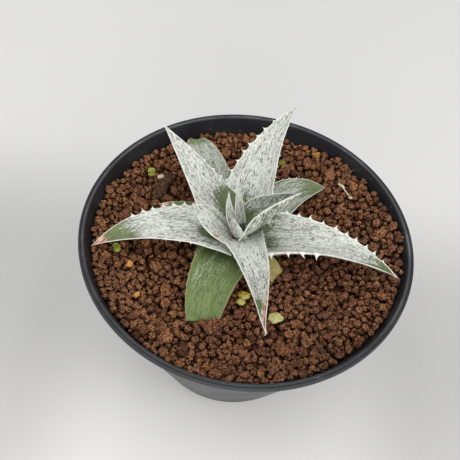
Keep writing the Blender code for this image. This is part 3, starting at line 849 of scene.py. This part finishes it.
def spine(blade, s, where, size, rng):
    """A small hook on the margin: flat, with hollow flanks that run out along the margin."""
    s, v = np.array([s]), np.array([float(where)])
    root, _, along, out, sideways, _ = (part[0] for part in blade.at(s, v, np.array([0.5])))
    hang = blade.leaf.droop[0 if where < 0 else 1]
    ahead = unit(sideways * where - out * hang)
    lean = rng.uniform(0.0, 0.5)
    lift = rng.uniform(-0.05, 0.25)
    points, faces = [], []
    for k in range(SPINE_RINGS + 1):
        t = k / SPINE_RINGS
        reach = SPINE_LENGTH * size * t
        centre = (root + ahead * (reach - SPINE_ROOT)
                  + along * lean * reach * t + out * lift * reach * t)
        if k == SPINE_RINGS:
            points.append(centre)
            break
        wide = size * (SPINE_BASE * (1 - t) ** 4 + SPINE_TIP * (1 - t) ** 0.8)
        high = SPINE_HEIGHT * size * (1 - t) ** 0.8 + 0.02
        for i in range(SPINE_SIDES):
            a = 2 * math.pi * i / SPINE_SIDES
            points.append(centre + along * wide * math.cos(a) + out * high * math.sin(a))
    pairs = [(i, (i + 1) % SPINE_SIDES) for i in range(SPINE_SIDES)]
    for a in range(0, (SPINE_RINGS - 1) * SPINE_SIDES, SPINE_SIDES):
        b = a + SPINE_SIDES
        faces += [(a + i, a + j, b + j, b + i) if where > 0 else (a + j, a + i, b + i, b + j)
                  for i, j in pairs]
    top, tip = (SPINE_RINGS - 1) * SPINE_SIDES, len(points) - 1
    foot = tuple(range(SPINE_SIDES))
    closing = [(top + i, top + j, tip) for i, j in pairs] + [foot[::-1]]
    faces += closing if where > 0 else [face[::-1] for face in closing]
    return np.array(points), faces


def make_leaves(looks):
    """Returns the leaves for the granules to lie against."""
    rng = Random(LEAF_SEED)
    made = []
    for number, leaf in enumerate(LEAVES):
        points, faces, (s, v, side, arc, edge) = blade_mesh(leaf, rng)
        name = leaf.name.replace("leaf", "blade")
        thing = mesh_object(name, points * MM, faces, looks[leaf.slot])
        face_outwards(thing)
        values = {"coat": leaf.coat - 0.1 * side, "dry": 0 * s,
                  "tone": leaf.tone + 0 * s, "ribs": leaf.ribs + 0 * s}
        for what, at, across, reach, spread, amount in leaf.patches:
            near = np.exp(-((s - at) / reach) ** 2 - ((v - across) / spread) ** 2)
            values[what] = values[what] + amount * near
        blush = leaf.blush + 0 * s
        store(thing, "lay", v * arc, s * leaf.length, side * 3 + number * 9)
        store(thing, "skin", values["coat"], values["dry"], edge)
        store(thing, "cast", values["ribs"], values["tone"], blush)
        stand_for(thing, leaf.name)
        made.append(thing)
    return made


# Soil ------------

def soil_height(x, y):
    """Height of the soil, in metres, without its lumps."""
    out = min(1, math.hypot(x, y) / wall_inside(SOIL_TOP))
    around = math.atan2(y, x)
    bank = SOIL_BANK + SOIL_BANK_RIGHT * math.cos(around) + SOIL_BANK_SIDES * math.cos(2 * around)
    hollow = SOIL_HOLLOW * max(0, math.cos(around - math.radians(SOIL_HOLLOW_ANGLE))) ** 6
    return SOIL_TOP + (bank - hollow) * out ** 4


GRANULES = 4700
GRANULE_RADII = (0.9, 1.05, 1.2, 1.4, 1.9)
GRANULE_SHARES = (0.25, 0.33, 0.25, 0.13, 0.04)
GRANULE_KINDS = ((5, 40), (4, 40), (2, 8))  # large, small, buried: cells and number of shapes
LARGE_GRANULE = 1.0  # radius
SWELLING = 1.04  # of each settled granule, to close the last gaps
SOIL_SEED = 5
SECTORS = 16  # the granules are gathered in so many pieces
CLOD = (-8.4, -35.4, 3.0)  # a large one by an old leaf: x, y, radius
CLOD_LIFT = 0.6
BED_DEPTH = 4.4  # of the layer of granules
BED_GAP = 0.3  # between the packed soil and the pot
BED_LUMPS = 1.2
SHOWN_DEPTH = 1.9  # anything deeper is out of sight
SPREAD_HEIGHT = 7 * MM  # over the soil's middle, where the pot gives the width to spread in
SETTLE_STEPS, SETTLE_ROUNDS = 64, 2
PUSH = 0.42  # share of an overlap that each of the two gives way
NEAR = 3.6  # reach for neighbours
RESURVEY = 8  # steps between looks at the neighbours and the ground
CLEARING, LAST_STEPS = 6, 4  # leaves are cleared in each sixth step and in the last four
CLEARANCE = 0.92  # share of the radius kept off a leaf
CLEAR_REACH = 1.2
WALL_GAP = 0.1
STANDING_OVER = 4.0  # a granule so close over a leaf is left out


def nearby_pairs(points, reach):
    tree = KDTree(len(points))
    for i, p in enumerate(points):
        tree.insert(p, i)
    tree.balance()
    pairs = [(i, j) for i, p in enumerate(points) for _, j, _ in tree.find_range(p, reach) if j > i]
    return np.array(pairs).T


def ground_under(points):
    return np.array([soil_height(x * MM, y * MM) / MM for x, y, _ in points])


def settle(obstacles, rng):
    """Spread round granules through the top layer until they only touch."""
    radii = rng.choice(GRANULE_RADII, GRANULES, p=GRANULE_SHARES)
    radii = radii * rng.uniform(0.93, 1.07, GRANULES)
    angle = rng.uniform(0, 2 * math.pi, GRANULES)
    out = np.sqrt(rng.uniform(0, 1, GRANULES)) * (wall_inside(SOIL_TOP + SPREAD_HEIGHT) / MM - 0.7)
    points = np.stack([out * np.cos(angle), out * np.sin(angle), np.zeros(GRANULES)], axis=-1)
    points[0, :2], radii[0] = CLOD[:2], CLOD[2]
    points[:, 2] = ground_under(points) - rng.uniform(0, BED_DEPTH, GRANULES)
    highest = rng.normal(0.55, 0.6, GRANULES) - 0.5 * (radii - 1.1)
    build = bmesh.new()
    for thing in obstacles:
        build.from_mesh(thing.data)
    bmesh.ops.scale(build, vec=(1 / MM,) * 3, verts=build.verts)
    shape = BVHTree.FromBMesh(build)
    build.free()
    for step in range(SETTLE_STEPS):
        resurvey = step % RESURVEY == 0
        if resurvey:
            first, second = nearby_pairs(points, NEAR)
        for _ in range(SETTLE_ROUNDS):
            gap = points[second] - points[first]
            distance = np.linalg.norm(gap, axis=1) + 1e-9
            overlap = np.clip(radii[first] + radii[second] - distance, 0, None)
            push = gap * (PUSH * overlap / distance)[:, None]
            np.add.at(points, first, -push)
            np.add.at(points, second, push)
        wall = wall_inside(points[:, 2] * MM) / MM - radii - WALL_GAP
        out = np.hypot(points[:, 0], points[:, 1])
        points[:, :2] *= np.minimum(1, wall / np.maximum(out, 1e-6))[:, None]
        if resurvey:
            surface = ground_under(points)
        points[:, 2] = np.clip(points[:, 2], surface - BED_DEPTH, surface + highest)
        points[0] = CLOD[0], CLOD[1], surface[0] + CLOD_LIFT
        if step % CLEARING == CLEARING - 1 or step >= SETTLE_STEPS - LAST_STEPS:
            keep_clear(points[1:], radii[1:], shape)
    down = Vector((0, 0, -1))
    kept = np.array([k == 0 or shape.ray_cast(Vector(p), down, STANDING_OVER)[0] is None
                     for k, p in enumerate(points)])
    return points[kept], radii[kept]


def keep_clear(points, radii, shape):
    """Push granules off the leaves and the loose bits."""
    for i, p in enumerate(points):
        keep = radii[i] * CLEARANCE
        spot, normal, _, distance = shape.find_nearest(Vector(p), radii[i] + CLEAR_REACH)
        if spot is None:
            continue
        away = Vector(p) - spot
        if away.dot(normal) < 0:
            points[i] = np.array(spot + normal * keep)
            if normal.z > 0.3:
                points[i][2] -= 2 * keep + distance
        elif distance < keep and distance > 1e-6:
            points[i] = np.array(spot + away / distance * keep)


def cube_sphere(cells):
    """A sphere of quads, as directions and faces."""
    index, points, faces = {}, [], []
    for axis, sign, i, j in product(range(3), (-1, 1), range(cells), range(cells)):
        corners = []
        for a, b in ((i, j), (i + 1, j), (i + 1, j + 1), (i, j + 1)):
            p = [0, 0, 0]
            p[axis] = sign
            p[(axis + 1) % 3] = math.tan((2 * a / cells - 1) * math.pi / 4)
            p[(axis + 2) % 3] = math.tan((2 * b / cells - 1) * math.pi / 4)
            key = tuple(round(c, 4) for c in p)
            if key not in index:
                index[key] = len(points)
                points.append(p)
            corners.append(index[key])
        faces.append(corners if sign > 0 else corners[::-1])
    return unit(np.array(points, dtype=float)), np.array(faces)


def crumb_shape(directions, rng, roughness=1.0):
    """A lumpy crumb with a few worn facets, of radius 1."""
    reach = np.full(len(directions), 1.15)
    for _ in range(8):
        facing = unit(rng.normal(size=3))
        against = directions @ facing
        cut = rng.uniform(0.74, 1.0)
        reach = np.where(against > 0.2, np.minimum(reach, cut / np.maximum(against, 0.2)), reach)
    shift = rng.uniform(0, 60, 3)
    knobs = np.array([0.3 * noise.noise(Vector(d * 1.7 + shift))
                      + 0.48 * noise.noise(Vector(d * 4.6 + shift)) for d in directions])
    return directions * (reach + roughness * knobs)[:, None]


def random_turn(rng):
    w, x, y, z = unit(rng.normal(size=4))
    return np.array([
        [1 - 2 * (y * y + z * z), 2 * (x * y - z * w), 2 * (x * z + y * w)],
        [2 * (x * y + z * w), 1 - 2 * (x * x + z * z), 2 * (y * z - x * w)],
        [2 * (x * z - y * w), 2 * (y * z + x * w), 1 - 2 * (x * x + y * y)]])


def make_granules(clay, obstacles):
    rng = np.random.default_rng(SOIL_SEED)
    points, radii = settle(obstacles, rng)
    kinds = []
    for cells, count in GRANULE_KINDS:
        ball, faces = cube_sphere(cells)
        kinds.append(([crumb_shape(ball, rng) for _ in range(count)], faces))
    gathered = [[[], [], [], 0] for _ in range(SECTORS)]
    for point, radius, ground in zip(points, radii, ground_under(points)):
        shown = point[2] > ground - SHOWN_DEPTH
        shapes, faces = kinds[0 if shown and radius > LARGE_GRANULE else 1 if shown else 2]
        shape = shapes[rng.integers(len(shapes))]
        stretch = rng.uniform(0.74, 1.22, 3)
        turned = (shape * stretch) @ random_turn(rng).T
        grain = point + turned * radius * SWELLING
        angle = math.atan2(point[1], point[0]) % (2 * math.pi)
        part = gathered[int(angle / (2 * math.pi) * SECTORS) % SECTORS]
        part[0].append(grain)
        part[1].append(faces + part[3])
        left_back = np.clip(0.5 - 0.5 * (point[0] - 0.6 * point[1]) / 60, 0, 1)
        orange = max(0, rng.normal(0.02 + 0.34 * left_back, 0.2))
        tone = [np.clip(rng.normal(0.4 + 0.22 * left_back, 0.28), 0, 1), min(1, orange),
                max(0, rng.normal(-0.08, 0.32))]
        part[2].append(np.tile(tone, (len(grain), 1)))
        part[3] += len(grain)
    for number, (grains, faces, tones, _) in enumerate(gathered, 1):
        quads = [tuple(map(int, face)) for group in faces for face in group]
        thing = mesh_object(f"granules_{number:02d}", np.vstack(grains) * MM, quads, clay)
        store(thing, "tone", *np.vstack(tones).T)
        thing.data.set_sharp_from_angle(angle=math.radians(36))
        stand_for(thing, "soil")


def make_bed(clay):
    """The closely packed soil below the loose granules."""
    gap = BED_GAP * MM
    low, top = FLOOR_TOP + gap, SOIL_TOP - BED_DEPTH * MM
    profile = [(0, low), (wall_inside(low) - gap, low), (wall_inside(top) - gap, top)]
    profile += [(wall_inside(top) * k / 24, top) for k in range(23, 0, -1)] + [(0, top)]
    points, faces = lathe(profile, 96)
    lumpy = []
    for x, y, z in points:
        p = Vector((x, y, z))
        if z > top - 1e-6:
            lumps = BED_LUMPS * MM * noise.noise(p / MM * 0.5)
            p.z = soil_height(x, y) - BED_DEPTH * MM + lumps
        lumpy.append(p)
    bed = mesh_object("soil_bed", lumpy, faces, clay)
    face_outwards(bed)
    store(bed, "tone", *np.tile((0.2, 0, 0.6), (len(points), 1)).T)
    bed.data.set_sharp_from_angle(angle=math.radians(60))
    stand_for(bed, "soil")


# Loose bits on the soil ------------

LUMP_CELLS = 9
BIT_HEIGHT = 0.9  # of the middle of a bit without a CAD node over the soil
BITS = (
    # Name, CAD node or spot on the soil, slot, look and lumps. Each lump: place from the bit's
    # middle, length with width and height, turn and tilt in degrees, roughness.
    ("yellow_bit_front", "grit_yellow_front", "yellow_grit", "yellow",
     (((0.5, 1.3, 0.2), (4.0, 2.8, 2.4), 15, 0, 0.7),
      ((-0.3, -1.3, 0.0), (3.0, 2.6, 2.0), -20, 0, 0.6))),
    ("pale_bit_front", "grit_pale_front", "yellow_grit", "pale",
     (((0, 0, 0), (5.2, 3.9, 2.0), 15, 6, 0.5),)),
    ("yellow_bit_back", "grit_yellow_back", "yellow_grit", "brown",
     (((0, 0, -0.3), (2.9, 2.4, 2.2), 20, 0, 1.2),)),
    ("green_bit_left", "grit_green_left", "green_grit", "green",
     (((-0.4, 0.5, 0), (2.6, 2.2, 2.0), 0, 0, 0.7),
      ((0.5, -0.7, -0.2), (2.3, 1.9, 1.7), 40, 0, 0.7))),
    ("amber_chip_left", "grit_orange_left", "orange_grit", "orange",
     (((0, 0.2, 0.1), (2.0, 2.4, 1.8), 20, 25, 1.1),
      ((-0.5, -0.6, 0), (1.9, 1.2, 1.5), 0, 0, 0.8))),
    ("pale_pebble_left", "pebble_white_left", "white_grit", "white",
     (((0, 0, 0), (2.3, 1.6, 1.5), 20, 0, 1.0),)),
    ("white_chip_right", "chip_white_right", "white_grit", "white",
     (((-1.7, 2.3, 0.2), (3.6, 1.0, 0.9), -50, -14, 0.9),
      ((0.3, -0.4, 0.0), (5.0, 0.45, 0.5), -52, 4, 0.5),
      ((2.2, -3.0, -0.1), (1.5, 0.8, 0.9), 10, 0, 1.0))),
    ("bark_piece", "bark_chunk", "bark", "bark",
     (((0.6, 2.2, 0), (7.0, 3.4, 3.0), 72, 4, 1.5),
      ((-0.6, -1.4, -0.2), (5.0, 3.6, 2.8), 90, -6, 1.6),
      ((-1.5, -4.4, -0.4), (4.0, 3.2, 2.6), 40, 0, 1.7))),
    ("green_bit_back_left", (-39.6, 27.2), "green_grit", "green",
     (((-0.6, 0.8, 0), (2.6, 2.2, 1.8), 0, 0, 0.9),
      ((-0.3, -1.2, 0), (2.4, 1.6, 1.6), 20, 0, 0.9))),
    ("green_ball_back", (10.1, 42.1), "green_grit", "olive",
     (((0, 0, 0), (3.2, 2.9, 2.8), 0, 0, 0.5),)),
    ("pink_chip_left", (-35.2, -27.8), "orange_grit", "orange",
     (((0, 0, 0), (2.5, 1.5, 1.5), 45, 0, 1.0),)),
)


def make_lump(name, look, rng, place, size, turn, tilt, roughness):
    directions, faces = cube_sphere(LUMP_CELLS)
    shape = crumb_shape(directions, rng, roughness) * (np.array(size) / 2)
    turning = (Matrix.Rotation(math.radians(turn), 3, "Z")
               @ Matrix.Rotation(math.radians(tilt), 3, "Y"))
    build = bmesh.new()
    corners = [build.verts.new((place + turning @ Vector(p)) * MM) for p in shape]
    for face in faces:
        build.faces.new([corners[k] for k in face])
    return built(name, build, look)


def make_bit(name, where, look, lumps, seed):
    if isinstance(where, str):
        low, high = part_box(where)
        node, middle = where, (Vector(low) + Vector(high)) / 2 / MM
    else:
        height = soil_height(where[0] * MM, where[1] * MM) / MM + BIT_HEIGHT
        node, middle = "soil", Vector((*where, height))
    rng = np.random.default_rng(seed)
    bit, *others = [make_lump(name, look, rng, middle + Vector(place), *shape)
                    for place, *shape in lumps]
    for other in others:
        applied(bit, other, "UNION")
    bit.data.shade_smooth()
    stand_for(bit, node)
    return bit


def make_bits():
    looks = {
        "yellow": bit_look("waxy_yellow", (0.6, 0.57, 0.16), (0.54, 0.33, 0.03), 0.45, 0.5),
        "pale": bit_look("waxy_pale", (0.44, 0.4, 0.12), (0.64, 0.61, 0.27), 0.5),
        "green": bit_look("waxy_green", (0.16, 0.17, 0.015), (0.5, 0.53, 0.09), 0.45),
        "orange": bit_look("amber_chip", (0.5, 0.18, 0.04), (0.88, 0.47, 0.12), 0.5),
        "brown": bit_look("amber_granule", (0.2, 0.08, 0.02), (0.66, 0.36, 0.08), 0.6),
        "olive": bit_look("olive_bit", (0.1, 0.1, 0.01), (0.26, 0.25, 0.03), 0.5),
        "white": bit_look("white_mineral", (0.66, 0.5, 0.28), (0.93, 0.86, 0.68), 0.7),
        "bark": bark_look(),
    }
    return [make_bit(name, where, looks[look], lumps, seed)
            for seed, (name, where, slot, look, lumps) in enumerate(BITS, 1)]


# The whole ------------

LEAF_COLOURS = {  # slot: name, bare leaf from dark to light, scales from low to high
    "leaf_silver": ("silver_leaf", (0.08, 0.11, 0.045), (0.19, 0.24, 0.09),
                    (0.25, 0.275, 0.22), (0.76, 0.765, 0.7)),
    "leaf_grey_green": ("grey_green_leaf", (0.1, 0.14, 0.07), (0.22, 0.27, 0.13),
                        (0.3, 0.34, 0.26), (0.6, 0.62, 0.55)),
    "leaf_green": ("green_leaf", (0.055, 0.1, 0.022), (0.2, 0.27, 0.085),
                   (0.24, 0.31, 0.16), (0.5, 0.54, 0.4)),
    "leaf_yellow": ("yellow_leaf", (0.06, 0.09, 0.018), (0.44, 0.37, 0.12),
                    (0.35, 0.36, 0.2), (0.55, 0.53, 0.36)),
}

make_camera()
make_world()
for light in LIGHTS:
    make_light(*light)
make_floor()
make_pot()
leaves = make_leaves({slot: leaf_look(*colours) for slot, colours in LEAF_COLOURS.items()})
clay = clay_look()
make_bed(clay)
make_granules(clay, leaves + make_bits())
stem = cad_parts["stem"]
stem.data.materials.clear()
stem.data.materials.append(stem_look())
